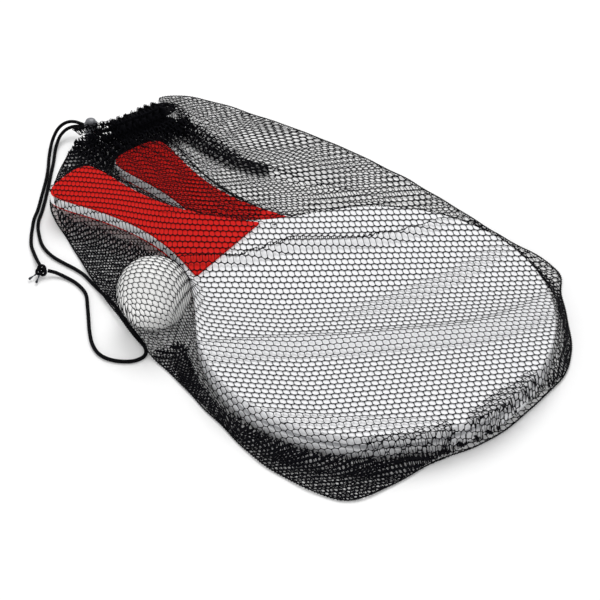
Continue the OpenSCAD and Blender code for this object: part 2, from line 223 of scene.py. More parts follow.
def axesAt(degrees):  # the two axes of the plan, turned
    c, s = wayAt(degrees)
    return np.array(((c, s), (-s, c)))


def unitRows(field):
    return field / np.linalg.norm(field, axis=1, keepdims=True)


def catmullRom(a, b, c, d, t):
    return 0.5 * (2 * b + (c - a) * t + (2 * a - 5 * b + 4 * c - d) * t * t
                  + (3 * b - a - 3 * c + d) * t ** 3)


def runAlong(route):  # the length from the start to each place of a route
    return np.concatenate([[0], np.cumsum(np.linalg.norm(np.diff(route, axis=0), axis=1))])


def evenly(dense, step):
    run = runAlong(dense)
    even = np.linspace(0, run[-1], max(3, int(round(run[-1] / step)) + 1))
    return np.stack([np.interp(even, run, dense[:, k]) for k in range(dense.shape[1])], 1), run[-1]


def smoothRoute(points, step):  # an open route through the points, with places a step apart
    p = np.array(points, float)
    p = np.vstack([2 * p[0] - p[1], p, 2 * p[-1] - p[-2]])
    dense = [catmullRom(*p[i - 1:i + 3], t) for i in range(1, len(p) - 2) for t in np.arange(0, 1, 0.1)]
    return evenly(np.array(dense + [p[-2]]), step)


def sweepTube(name, route, radius, sides):  # a closed tube, with its length in metres in U and its turn in V
    route = [Vector(p) for p in route]
    count = len(route)
    tangents = [(route[min(i + 1, count - 1)] - route[max(i - 1, 0)]).normalized() for i in range(count)]
    side = tangents[0].cross(Vector((0, 0, 1))).normalized()
    axes = Matrix((side, tangents[0].cross(side), tangents[0])).transposed().to_4x4()
    bm = bmesh.new()
    layer = bm.loops.layers.uv.new("UVMap")
    ring = bmesh.ops.create_circle(bm, segments=sides, radius=radius, cap_ends=True)["verts"]
    bmesh.ops.transform(bm, matrix=Matrix.Translation(route[0]) @ axes, verts=ring)
    edges = list({e for v in ring for e in v.link_edges})
    around = {v: i for i, v in enumerate(ring)}
    along = {v: 0.0 for v in ring}
    run = 0.0
    for i in range(1, count):
        made = bmesh.ops.extrude_edge_only(bm, edges=edges)["geom"]
        fresh = [g for g in made if isinstance(g, bmesh.types.BMVert)]
        edges = [g for g in made if isinstance(g, bmesh.types.BMEdge)]
        turn = tangents[i - 1].rotation_difference(tangents[i]).to_matrix().to_4x4()
        run += (route[i] - route[i - 1]).length
        for v in fresh:  # before it moves, a new vertex lies on the one that it came from
            around[v] = around[min((e.other_vert(v) for e in v.link_edges if e.other_vert(v) in around),
                                   key=lambda w: (w.co - v.co).length)]
            along[v] = run
        bmesh.ops.transform(bm, verts=fresh, matrix=Matrix.Translation(route[i]) @ turn
                            @ Matrix.Translation(-route[i - 1]))
    bmesh.ops.contextual_create(bm, geom=edges)
    for face in bm.faces:
        turns = [around[l.vert] for l in face.loops]
        wraps = len(turns) == 4 and max(turns) - min(turns) > 1
        for l in face.loops:
            k = around[l.vert]
            l[layer].uv = (along[l.vert], (k + sides if wraps and k == 0 else k) / sides)
    bmesh.ops.recalc_face_normals(bm, faces=bm.faces)
    return finished(bm, name)


# Effects shared by several finishes, all on the piece's own coordinates

def startGroup(name, inputs, outputs):  # an input whose value is a tuple is a colour
    group = bpy.data.node_groups.new(name, "ShaderNodeTree")
    for label, value in inputs.items():
        kind = "NodeSocketColor" if isinstance(value, tuple) else "NodeSocketFloat"
        group.interface.new_socket(name=label, in_out="INPUT", socket_type=kind).default_value = value
    for label, kind in outputs.items():
        group.interface.new_socket(name=label, in_out="OUTPUT", socket_type=kind)
    return group, group.nodes.new("NodeGroupInput").outputs


def noiseOn(group, scale, detail):
    coords = added(group, "ShaderNodeTexCoord").outputs["Object"]
    inputs = {"Vector": coords, "Scale": scale, "Detail": detail}
    return added(group, "ShaderNodeTexNoise", inputs).outputs["Fac"]


def makeMottle():  # slight patches of another tone and uneven gloss; on the black net thread the patches are lighter and bluish, a painted sheen
    group, given = startGroup(
        "mottle", {"Colour": (1, 1, 1, 1), "Patch Tone And Sheen": (0, 0, 0, 1), "Scale": 60.0, "Amount": 0.1,
                   "Roughness": 0.5, "Roughness Change": 0.1},
        {"Colour": "NodeSocketColor", "Roughness": "NodeSocketFloat"})
    noise = noiseOn(group, given["Scale"], 5)
    share = worked(group, "MULTIPLY", noise, given["Amount"])
    mix = added(group, "ShaderNodeMix", {"Factor": share, "A": given["Colour"], "B": given["Patch Tone And Sheen"]},
                data_type="RGBA")
    gloss = worked(group, "MULTIPLY_ADD", noise, given["Roughness Change"], given["Roughness"])
    added(group, "NodeGroupOutput", {"Colour": mix.outputs["Result"], "Roughness": gloss})
    return group


def makeGrain():  # fine even grain as a height from 0 to 1
    group, given = startGroup("grain", {"Scale": 2000.0, "Coarse Scale": 200.0, "Coarse Share": 0.5},
                              {"Height": "NodeSocketFloat"})
    fine, coarse = (noiseOn(group, given[label], 2) for label in ("Scale", "Coarse Scale"))
    mix = added(group, "ShaderNodeMix", {"Factor": given["Coarse Share"], "A": fine, "B": coarse})
    added(group, "NodeGroupOutput", {"Height": mix.outputs["Result"]})
    return group


def makeTwist():  # plies of a thread or braid, along U in metres and round V
    group, given = startGroup("twist", {"Turn Length": 0.0042, "Plies": 4.0}, {"Height": "NodeSocketFloat"})
    coords = added(group, "ShaderNodeUVMap").outputs[0]
    split = added(group, "ShaderNodeSeparateXYZ", {0: coords}).outputs
    along = worked(group, "DIVIDE", split["X"], given["Turn Length"])
    around = worked(group, "MULTIPLY", split["Y"], given["Plies"])
    waves = []
    for way in (1, -1):
        turn = worked(group, "MULTIPLY_ADD", around, way, along)
        waves.append(worked(group, "SINE", worked(group, "MULTIPLY", turn, 2 * math.pi)))
    added(group, "NodeGroupOutput", {"Height": worked(group, "MAXIMUM", *waves)})
    return group


mottle, grain, twist = makeMottle(), makeGrain(), makeTwist()
coarseGrain = {"timesCoarser": 9, "share": 0.35}


def makeFinish(v):
    made, tree = startMaterial(v["name"])
    patches = added(tree, "ShaderNodeGroup", {
        "Colour": (*v["colour"], 1), "Patch Tone And Sheen": (*v["patchToneAndSheen"], 1), "Scale": v["patchScale"],
        "Amount": v["patches"], "Roughness": v["roughness"], "Roughness Change": v["roughChange"]},
        node_tree=mottle).outputs
    if "plies" in v:
        inputs = {"Turn Length": v["turnLength"], "Plies": v["plies"]}
    else:
        inputs = {"Scale": v["grainScale"], "Coarse Scale": v["grainScale"] / coarseGrain["timesCoarser"],
                  "Coarse Share": coarseGrain["share"]}
    relief = added(tree, "ShaderNodeGroup", inputs, node_tree=twist if "plies" in v else grain)
    bump = added(tree, "ShaderNodeBump", {
        "Height": relief.outputs["Height"], "Distance": v["relief"], "Strength": 1.0})
    shaded(tree, {"Base Color": patches["Colour"], "Roughness": patches["Roughness"],
                  "Normal": bump.outputs["Normal"], **v.get("plain", {})})
    return made


finishValues = [
    {"name": "whitePaint", "colour": (0.86, 0.865, 0.885), "patchToneAndSheen": (0.74, 0.74, 0.75),
     "patchScale": 22.0, "patches": 0.12, "roughness": 0.34, "roughChange": 0.12, "grainScale": 1400.0,
     "relief": 0.00006, "plain": {"Coat Weight": 0.15, "Coat Roughness": 0.3}},
    {"name": "redGrip", "colour": (0.66, 0.006, 0.003), "patchToneAndSheen": (0.42, 0.004, 0.002),
     "patchScale": 30.0, "patches": 0.18, "roughness": 0.45, "roughChange": 0.15, "grainScale": 2600.0,
     "relief": 0.00009, "plain": {"Specular IOR Level": 0.06}},
    {"name": "whiteRubber", "colour": (0.97, 0.97, 0.96), "patchToneAndSheen": (0.88, 0.88, 0.86),
     "patchScale": 45.0, "patches": 0.14, "roughness": 0.55, "roughChange": 0.15, "grainScale": 3200.0,
     "relief": 0.0001},
    # net thread: its second, lighter bluish patch colour is painted sheen on the yarn
    {"name": "netThread", "colour": (0.002, 0.002, 0.003), "patchToneAndSheen": (0.006, 0.006, 0.009),
     "patchScale": 500.0, "patches": 0.8, "roughness": 0.65, "roughChange": 0.2, "grainScale": 4200.0,
     "relief": 0.0002, "plain": {"Specular IOR Level": 0.05}},
    {"name": "seamThread", "colour": (0.002, 0.002, 0.003), "patchToneAndSheen": (0.008, 0.008, 0.011),
     "patchScale": 700.0, "patches": 0.8, "roughness": 0.65, "roughChange": 0.2, "grainScale": 5000.0,
     "relief": 0.00025, "plain": {"Specular IOR Level": 0.06}},
    {"name": "braid", "colour": (0.002, 0.002, 0.003), "patchToneAndSheen": (0.008, 0.008, 0.01),
     "patchScale": 900.0, "patches": 0.6, "roughness": 0.55, "roughChange": 0.15, "turnLength": 0.0042,
     "plies": 4.0, "relief": 0.0004, "plain": {"Specular IOR Level": 0.04}},
    {"name": "frayedYarn", "colour": (0.035, 0.04, 0.055), "patchToneAndSheen": (0.012, 0.012, 0.016),
     "patchScale": 300.0, "patches": 0.8, "roughness": 0.6, "roughChange": 0.2, "grainScale": 6000.0,
     "relief": 0.0001},
    {"name": "smokePlastic", "colour": (0.20, 0.205, 0.225), "patchToneAndSheen": (0.13, 0.135, 0.15),
     "patchScale": 200.0, "patches": 0.2, "roughness": 0.22, "roughChange": 0.12, "grainScale": 5000.0,
     "relief": 0.00002, "plain": {"Transmission Weight": 0.25, "IOR": 1.49}},
    {"name": "springSteel", "colour": (0.62, 0.63, 0.65), "patchToneAndSheen": (0.42, 0.42, 0.44),
     "patchScale": 900.0, "patches": 0.3, "roughness": 0.22, "roughChange": 0.15, "grainScale": 6000.0,
     "relief": 0.00002, "plain": {"Metallic": 1.0}},
]
finishes = {v["name"]: makeFinish(v) for v in finishValues}
print("finishes ready")


# What lies in the bag, as heights on a plan grid in mm from the middle of the faces

gridValues = {
    "step": 1.5, "low": (-336.0, -159.0), "high": (150.0, 189.0), "swing": 0.5, "margin": 2, "above": 100,
}


def gridPlaces(v):
    along, across = (np.arange(v["low"][k], v["high"][k], v["step"]) for k in (0, 1))
    return np.stack(np.meshgrid(along, across, indexing="ij"), -1)


def between(grid, at):  # the grid's values at places that are counted in its cells
    cell = at.astype(int)
    a, b = cell[..., 0], cell[..., 1]
    fx, fy = ((at - cell)[..., k].reshape(*a.shape, *[1] * (grid.ndim - 2)) for k in (0, 1))
    return ((grid[a, b] * (1 - fx) + grid[a + 1, b] * fx) * (1 - fy)
            + (grid[a, b + 1] * (1 - fx) + grid[a + 1, b + 1] * fx) * fy)


def sampled(field, places):
    at = (places - np.array(gridValues["low"])) / gridValues["step"]
    return between(field, np.clip(at, 0, np.array(field.shape) - 1.001))


def heightOf(names, places):
    bm = bmesh.new()
    for name in names:
        bm.from_mesh(nodes[name].data)
    tree = BVHTree.FromBMesh(bm)
    corners = np.array([v.co for v in bm.verts]) / mm - np.array(faceAt)
    bm.free()
    heights = np.zeros(places.shape[:2])
    low = corners.min(0)[:2] - gridValues["margin"]
    high = corners.max(0)[:2] + gridValues["margin"]
    for i, j in np.argwhere(((places > low) & (places < high)).all(-1)):
        start = (Vector((*places[i, j], gridValues["above"])) + faceAt) * mm
        hit = tree.ray_cast(start, Vector((0, 0, -1)))[0]
        if hit:
            heights[i, j] = hit.z / mm
    return heights


def widened(field):  # the highest of each place and its neighbours
    wide = np.pad(field, 1)
    size = field.shape
    return np.maximum.reduce([wide[i:size[0] + i, j:size[1] + j] for i in (0, 1, 2) for j in (0, 1, 2)])


def contentHeights(v, places):
    fields = [heightOf(("ball",), places)]
    for names in (("upper_board", "upper_grip_top"), ("lower_board", "lower_grip_top")):
        field = heightOf(names, places)
        for turn in (-v["swing"], 0, v["swing"]):  # as far as a paddle swings
            fields.append(widened(sampled(field, places @ axesAt(turn))))
    return np.maximum.reduce(fields)


# Outline of the bag on the floor: near side, closed end, far side and drawn mouth, which lies
# along the hem and runs out to the ear beside the cord lock

outlineValues = {
    "near": [(-301, 45), (-284, 10), (-269, -12), (-250, -25), (-206, -49.5), (-183, -63.5),
             (-164, -72.5), (-142, -83), (-119.9, -93.3), (-83, -104.5), (-34, -122), (10, -135.5),
             (48, -137), (74.5, -127.5)],
    "closed": [(94, -78.5), (113.6, -36), (118.8, 6), (119.5, 37.5), (106, 68), (78.5, 103.5), (61, 126)],
    "far": [(8, 137), (-74, 155), (-150, 162.5), (-225, 160), (-272, 153), (-291, 137)],
    "steps": 6, "hemFrom": (-284.0, 78.0), "hemAngle": 73, "hemLength": 42,
    "mouthLength": 52, "mouthPoints": 4, "mouthOff": 5.2, "ear": (-301, 60),
}


def bagOutline(v):
    c, s = wayAt(v["hemAngle"])
    start = np.array(v["hemFrom"]) + v["mouthOff"] * np.array((s, -c))
    mouth = [start + along * np.array((c, s)) for along in np.linspace(v["mouthLength"], 0, v["mouthPoints"])]
    p = np.array([*v["near"], *v["closed"], *v["far"], *mouth, v["ear"]], float)
    n = len(p)
    return np.array([catmullRom(p[i - 1], p[i], p[(i + 1) % n], p[(i + 2) % n], k / v["steps"])
                     for i in range(n) for k in range(v["steps"])])


def hemLine(v, shares):  # places on the drawn mouth, by their share of its length
    return np.array(v["hemFrom"]) + np.array(shares)[:, None] * wayAt(v["hemAngle"]) * v["hemLength"]


def insideBy(outline, places):  # distance to the outline, positive inside
    nearest = np.full(places.shape[:-1], 1e9)
    inside = np.zeros(places.shape[:-1], bool)
    for a, b in zip(outline, np.roll(outline, -1, 0)):
        d, w = b - a, places - a
        t = np.clip(w @ d / (d @ d), 0, 1)
        nearest = np.minimum(nearest, ((w - t[..., None] * d) ** 2).sum(-1))
        crosses = (a[1] > places[..., 1]) != (b[1] > places[..., 1])
        inside ^= crosses & (w[..., 0] < d[0] * w[..., 1] / (d[1] if d[1] else 1e-9))
    return np.where(inside, 1, -1) * np.sqrt(nearest)


# Knitted net. Its holes lie in rows, and it is laid over the heights by moving a fine
# grid of cloth over the surface until no thread is longer or shorter than it was knitted.

netValues = {
    # the knit: hexagons in rows, with the hole's share of each cell
    "pitch": 4.1, "rowPitch": 5.2, "point": 0.6, "cornerCut": 0.45, "thickness": 0.3, "merge": 0.01,
    "hole": (0.925, 0.91), "crowdedHole": (0.78, 0.76), "tuckedHole": (0.72, 0.7),
    # how it has slipped
    "slant": -0.24,
    "rowSpread": (1.17, 0.81), "closeUp": (-15.0, 55.0),  # rows apart above and below; from, and over
    "rowTurn": 0.17, "turnFrom": (30.0, 160.0),  # the rows turn lower down: how much; from, and over
    "ballRows": (-73.0, 44.0, 28.0, -22.0, 0.38),  # middle, reach, soft edge, top row, share closer
    "bunched": (30.0, 120.0, 0.22, 15.0),  # from, over, share closer, and the line that it draws to
    # how it rests on what it holds: grid cell and rounds at which it settles
    "settling": [(8, 300), (4, 300), (2, 250), (1, 120)],
    "clear": 0.5, "edge": 1.5, "seam": 0.6, "sag": 0.12, "hemTop": 11.0, "hemFlat": 1.6, "hemSpread": 14,
    "floorHeight": 0.5, "floorGap": 0.2,
    "floorWave": (0.15, 17, 13),  # height, and its length each way over two pi
    "cordFrom": -215.0, "cordEase": (4, 0.5),  # steps beside the cord, and the fall of each
    "cordUnder": {"edge": 0.9, "net": 0.4, "tuck": 0.2},
    # how it is laid: grid cell and rounds, share of the error, its limit and the stride
    "laying": [(8, 300), (4, 300), (2, 300), (1, 220)], "pull": (0.5, 0.45, 1.3), "steepest": 5,
    "rowsTurn": 34.04, "floorTurn": 8.0, "middle": (-90.0, 8.0), "spare": 80.0,
    # how it is drawn together towards the mouth, in folds
    "gather": 2.25, "gatherReach": 46.0, "gatherFrom": 6, "gatherBeside": 2.4,
    "gatherRound": (0.5, 2.6),  # slighter and further out: how much, and times the reach
    "foldLength": 15.0, "foldFrom": 1.4, "foldRise": 12, "edgePull": 6,
    "foldWander": (1.4, 11, 23, 31),  # how much, and the lengths of its waves over two pi
    "foldShare": {"topNet": 0.5, "floorNet": 0.4, "crowded": 1.2},
    # round the ball: its place, height and radius, and the room for the net
    "ball": (-126.9, -68.05, 25.2, 24.0), "ballRoom": 1.2, "ballBeside": 12, "ballGap": 9.0,
    # folds tucked in at the rim: share of the top net's height, turn, crowding
    "tucks": [(0.93, 36.0, 0.66), (0.6, 39.0, 0.62)], "tuckCells": (160, 136), "tuckMiddle": (-56.0, -42.0),
    "tuckWidth": 30.0, "tuckUnder": 8.0, "handlesEnd": -120.0, "tuckBroad": 46.0, "tuckHandle": 14.0,
    "tuckEnd": (60.0, 30.0), "tuckLow": 0.5,
    "rim": (125.0, 5.0),  # the first lies round the faces: radius and half the width
    # heap at the mouth, and the streak behind it: share of the top net's height, half the width
    "mouthSpan": (-0.45, 0.55),
    "streak": [(-277, 109), (-259, 112), (-240, 111), (-229, 109), (-213, 106), (-192, 103), (-172, 106)],
    "mouthLayers": [(0.94, 14.0), (0.85, 18.0), (0.7, 24.0), (0.5, 30.0), (0.3, 36.0)],
    "streakLayers": [(0.9, 5.5), (0.6, 8.0)],
    # where it lies double: line, half the width, turn, crowding
    "doubled": {
        "rimLeftNet": ([(66, -99), (73, -92), (79, -86), (85, -79), (90, -73), (95, -64)], 4.5, 62.0, 0.8),
        "rimRightNet": ([(106, -46), (107, -37), (108, -28), (110, -17), (113, -7), (115, 2)],
                        6.0, 62.0, 0.76),
        "backNet": ([(-252, 62), (-227, 60), (-200, 55), (-174, 51), (-152, 47)], 21.0, 20.0, 0.92),
    },
    # a sheet's length by its width, and its least share of thread
    "flatShape": 1.2, "leastThread": 0.3001,
}
creaseValues = {
    "step": 8, "ends": 0.6, "within": (0.02, 0.98), "sharp": 3, "lean": 0.7,
    "fromEdge": (1, 8), "fromRim": (2, 8),
    "lines": [
        # points from left to right, height, width of the near slope and of the far slope
        ([(-150, -34), (-140, -28), (-120, -16), (-102, 3), (-88, 28), (-62, 49), (-42, 67), (-25, 91),
          (-17, 112)], 4.0, 12, 2.5),
        ([(-92, -110), (-76, -93), (-53, -74), (-24, -49), (1, -31), (20, -13), (44, 8), (62, 27),
          (77, 52), (88, 90)], 3.0, 20, 9),
        ([(-45, -120), (-32, -116), (-6, -115), (33, -97), (69, -75), (90, -60)], 1.1, 12, 6),
        ([(35, 109), (25, 63), (6, 19), (-12, -11)], 1.4, 14, 9),
        ([(-262, 92), (-246, 95), (-231, 99), (-214, 101), (-192, 103), (-172, 107), (-156, 109),
          (-139, 110), (-110, 116), (-80, 125)], 5.0, 8, 4),
        ([(-180, 5), (-170, 23), (-158, 29), (-157, 43), (-152, 59)], 1.8, 6, 3),
    ],
}


def cordBelow(v, places):  # where the drawcord runs under the bag's edge, widened and eased for the net
    high = heightOf(("cord_long_strand",), places)
    high[(high == 0) | (places[..., 0] < v["cordFrom"])] = 0
    high[high > 0] += v["clear"]
    high = widened(high)
    rounds, fall = v["cordEase"]
    for _ in range(rounds):
        high = np.maximum(high, widened(high) - fall)
    return high


def smoothStep(t):
    t = np.clip(t, 0, 1)
    return t * t * (3 - 2 * t)


def restingHeight(low, fixed, held, v):
    z = None
    for every, rounds in v["settling"]:
        here = np.s_[::every, ::every]
        least, still, edge = low[here], fixed[here], held[here]
        if z is None:
            z = least.copy()
        else:
            z = np.repeat(np.repeat(z, 2, 0), 2, 1)[:least.shape[0], :least.shape[1]]
        for _ in range(rounds):
            mean = z.copy()
            mean[1:-1, 1:-1] = (z[:-2, 1:-1] + z[2:, 1:-1] + z[1:-1, :-2] + z[1:-1, 2:]) / 4
            z = np.where(still, edge, np.maximum(mean - v["sag"] * every * every, least))
    return z


def besideLine(points, places):  # signed distance, negative on the right, and the share of the line's length
    points = np.array(points, float)
    lengths = np.linalg.norm(np.diff(points, axis=0), axis=1)
    start = np.concatenate([[0], np.cumsum(lengths)]) / lengths.sum()
    nearest = np.full(places.shape[:-1], 1e9)
    share = np.zeros(places.shape[:-1])
    side = np.zeros(places.shape[:-1])
    for a, b, s0, s1 in zip(points, points[1:], start, start[1:]):
        d, w = b - a, places - a
        t = np.clip(w @ d / (d @ d), 0, 1)
        off = np.linalg.norm(w - t[..., None] * d, axis=-1)
        cross = d[0] * w[..., 1] - d[1] * w[..., 0]
        better = off < nearest
        nearest = np.where(better, off, nearest)
        share = np.where(better, s0 + t * (s1 - s0), share)
        side = np.where(better, np.sign(cross), side)
    return side * nearest, share


def creased(places, v, free):  # rise over each crease, and how far its crest leans over
    rise = np.zeros(places.shape[:-1])
    lean = np.zeros(places.shape)
    for points, height, nearWidth, farWidth in v["lines"]:
        route, _ = smoothRoute([(*p, 0) for p in points], v["step"])
        off, share = besideLine(route[:, :2], places)
        slope = smoothStep(np.where(off < 0, 1 + off / nearWidth, 1 - off / farWidth))
        part = height * slope * np.sin(np.pi * np.clip(share, *v["within"])) ** v["ends"] * free
        rise += part
        if farWidth < v["sharp"]:
            across = np.array((route[0, 1] - route[-1, 1], route[-1, 0] - route[0, 0]))
            lean += (part * v["lean"])[..., None] * across / np.linalg.norm(across)
    return rise, lean


def gatheredBy(places, v, o):  # how many times the cloth is drawn together near the mouth
    c, s = wayAt(o["hemAngle"])
    w = places - np.array(o["hemFrom"])
    along, behind = w @ np.array((c, s)), w @ np.array((s, -c))
    beyond = np.maximum(np.abs(along - o["hemLength"] / 2) - o["hemLength"] / 2, 0)
    reach = np.hypot(np.maximum(behind - v["gatherFrom"], 0), v["gatherBeside"] * beyond) / v["gatherReach"]
    more, times = v["gatherRound"]
    return 1 + v["gather"] * np.exp(-reach ** 2) + more * np.exp(-(reach / times) ** 2)


def flatGrid(size, half, spacing, every=1):
    steps = [(np.arange(size[k]) * every - half[k]) * spacing[k] for k in (0, 1)]
    return np.stack(np.meshgrid(*steps, indexing="ij"), -1)


def clothSpacing(v):
    return np.array((v["pitch"], v["rowPitch"])) / 2


def laidCloth(z, v, o, turn):
    axes = axesAt(turn)
    spacing = clothSpacing(v)
    reach = np.abs((bagOutline(o) - np.array(v["middle"])) @ axes.T).max(0) + v["spare"]
    coarsest = v["laying"][0][0]
    half = (np.ceil(reach / spacing / coarsest) * coarsest).astype(int)
    drawn = wayAt(o["hemAngle"])
    share, most, stride = v["pull"]
    places = None
    for every, rounds in v["laying"]:
        if places is None:
            places = flatGrid(2 * half // every + 1, half, spacing, every) @ axes + np.array(v["middle"])
        else:
            for k in (0, 1):
                places = np.swapaxes(places, 0, k)
                finer = np.empty((2 * len(places) - 1, *places.shape[1:]))
                finer[::2], finer[1::2] = places, (places[1:] + places[:-1]) / 2
                places = np.swapaxes(finer, 0, k)
        n, m = places.shape[:2]
        for _ in range(rounds):
            heights = sampled(z, places)
            squeeze = gatheredBy(places, v, o)
            push = np.zeros_like(places)
            count = np.zeros((n, m, 1))
            for du, dv in ((1, 0), (0, 1), (1, 1), (1, -1)):
                one = np.s_[:n - du, max(0, -dv):m - max(0, dv)]
                two = np.s_[du:, max(0, dv):m + min(0, dv)]
                d = places[two] - places[one]
                wide = (squeeze[one] + squeeze[two]) / 2
                plan = np.maximum((d ** 2).sum(-1), 1e-6)
                climb = (heights[two] - heights[one]) ** 2
                length = np.sqrt(plan + (wide ** 2 - 1) * (d @ drawn) ** 2 + climb)
                knitted = math.hypot(du * spacing[0], dv * spacing[1]) * every
                # on a wall a small step is a long way
                steep = np.minimum(np.sqrt(1 + climb / plan), v["steepest"])
                pull = np.clip(share * (1 - knitted / length) * steep, -most, most)[..., None] * d
                push[one] += pull
                push[two] -= pull
                count[one] += 1
                count[two] += 1
            places = places + stride * push / count
    return {"places": places, "half": half, "spacing": spacing, "axes": axes}


def straightCloth(v, turn, crowd):  # the net lying slack, drawn together by the same share everywhere
    axes, spacing, half = axesAt(turn), clothSpacing(v), np.array(v["tuckCells"])
    places = flatGrid(2 * half + 1, half, spacing) @ axes * crowd + np.array(v["tuckMiddle"])
    return {"places": places, "half": half, "spacing": spacing, "axes": axes}


def flatNet(name, half, v):  # a rectangle of the net, flat and without thickness
    bm = bmesh.new()
    size = Vector((v["pitch"] / math.sqrt(3), v["rowPitch"] * v["point"], 1))
    shoulder = Vector((1, 2 * (1 - v["point"]) / v["point"], 1))  # flatter ends than a regular hexagon has

    def hexagon(**filled):
        corners = bmesh.ops.create_circle(bm, segments=6, radius=1, **filled)["verts"]
        bmesh.ops.scale(bm, vec=shoulder, verts=[w for w in corners if abs(w.co.x) > 0.1])
        return corners

    hole = hexagon(cap_ends=True)
    bmesh.ops.scale(bm, vec=size * Vector((*v["hole"], 1)), verts=hole)
    bmesh.ops.bevel(bm, geom=hole, offset=v["cornerCut"], affect="VERTICES", segments=1,
                    profile=0.5, material=-1)
    bmesh.ops.delete(bm, geom=bm.faces[:], context="FACES_ONLY")
    bmesh.ops.scale(bm, vec=size, verts=hexagon())
    bmesh.ops.bridge_loops(bm, edges=bm.edges)
    copy = bmesh.ops.duplicate(bm, geom=bm.verts[:] + bm.edges[:] + bm.faces[:])["geom"]
    bmesh.ops.translate(bm, vec=(v["pitch"] / 2, v["rowPitch"], 0),
                        verts=[g for g in copy if isinstance(g, bmesh.types.BMVert)])
    bmesh.ops.remove_doubles(bm, verts=bm.verts, dist=v["merge"])
    columns, pairs = (int(2 * half[0] / v["pitch"]) - 1, max(1, int(2 * half[1] / v["rowPitch"] / 2) - 1))
    bmesh.ops.translate(bm, vec=(v["pitch"] - half[0], v["rowPitch"] - half[1], 0), verts=bm.verts)
    bmesh.ops.recalc_face_normals(bm, faces=bm.faces)
    return repeated(finished(bm, name), v["merge"], (columns, (v["pitch"], 0, 0)),
                    (pairs, (0, 2 * v["rowPitch"], 0)))


def summed(share, at, reach):  # the length that a changing share adds up to, from nought
    y = np.arange(-float(reach), reach + 1)
    total = np.cumsum(share(y))
    return np.interp(at, y, total - total[reach])


def slipped(flat, v):  # the knit has slipped: its rows lean, and lower down they close up and turn
    upper, lower = v["rowSpread"]
    start, over = v["closeUp"]
    first, width = v["turnFrom"]
    turned = v["rowTurn"] * np.maximum(flat[:, 0], 0) * smoothStep((first - flat[:, 1]) / width)
    rows = summed(lambda y: upper + (lower - upper) * smoothStep((start - y) / over), flat[:, 1], 400)
    places = np.column_stack([flat[:, 0] + v["slant"] * flat[:, 1], rows + turned])
    middle, reach, edge, top, share = v["ballRows"]  # over the ball the rows lie closer
    beside = smoothStep((reach - np.abs(places[:, 0] - middle)) / edge)
    places[:, 1] += share * beside * np.maximum(top - places[:, 1], 0)
    first, width, share, axis = v["bunched"]  # towards the mouth the whole knit is bunched
    c, s = wayAt(v["rowsTurn"])
    towardsMouth = np.array(((-c, s), (s, c)))
    towards, beside = (places @ towardsMouth).T
    near = summed(lambda y: 1 - share * smoothStep((y - first) / width), towards, 500)
    crowd = 1 - share * smoothStep((towards - first) / width)
    return np.column_stack([near, axis + (beside - axis) * crowd]) @ towardsMouth


def clothAt(cloth, flat):
    at = flat / cloth["spacing"] + cloth["half"]
    return between(cloth["places"], np.clip(at, 0, 2 * cloth["half"] - 0.001))


def toBall(places, v):  # how far from the middle of the ball, in the plan
    return np.hypot(places[..., 0] - v["ball"][0], places[..., 1] - v["ball"][1])


def roundBall(places, inside, outward, v):  # below its widest ring the net runs in again to the seam
    x, y, high, radius = v["ball"]
    past = np.maximum(-sampled(inside, places[:, :2]), 0)
    past[toBall(places, v) > radius + v["ballBeside"]] = 0
    share = np.clip(1 - places[:, 2] / high, 0, 1)
    places = places.copy()
    places[:, :2] -= (past * share)[:, None] * outward
    off = places - np.array((x, y, high))
    far = np.linalg.norm(off, axis=1)
    short = np.maximum(radius + v["clear"] - far, 0)
    return places + off * (short / np.maximum(far, 1))[:, None]


def outwardAt(inside, places):
    slope = np.stack(np.gradient(inside, gridValues["step"]), -1)
    outward = -np.stack([sampled(slope[..., k], places) for k in (0, 1)], -1)
    return outward / np.maximum(np.linalg.norm(outward, axis=1, keepdims=True), 1e-6)


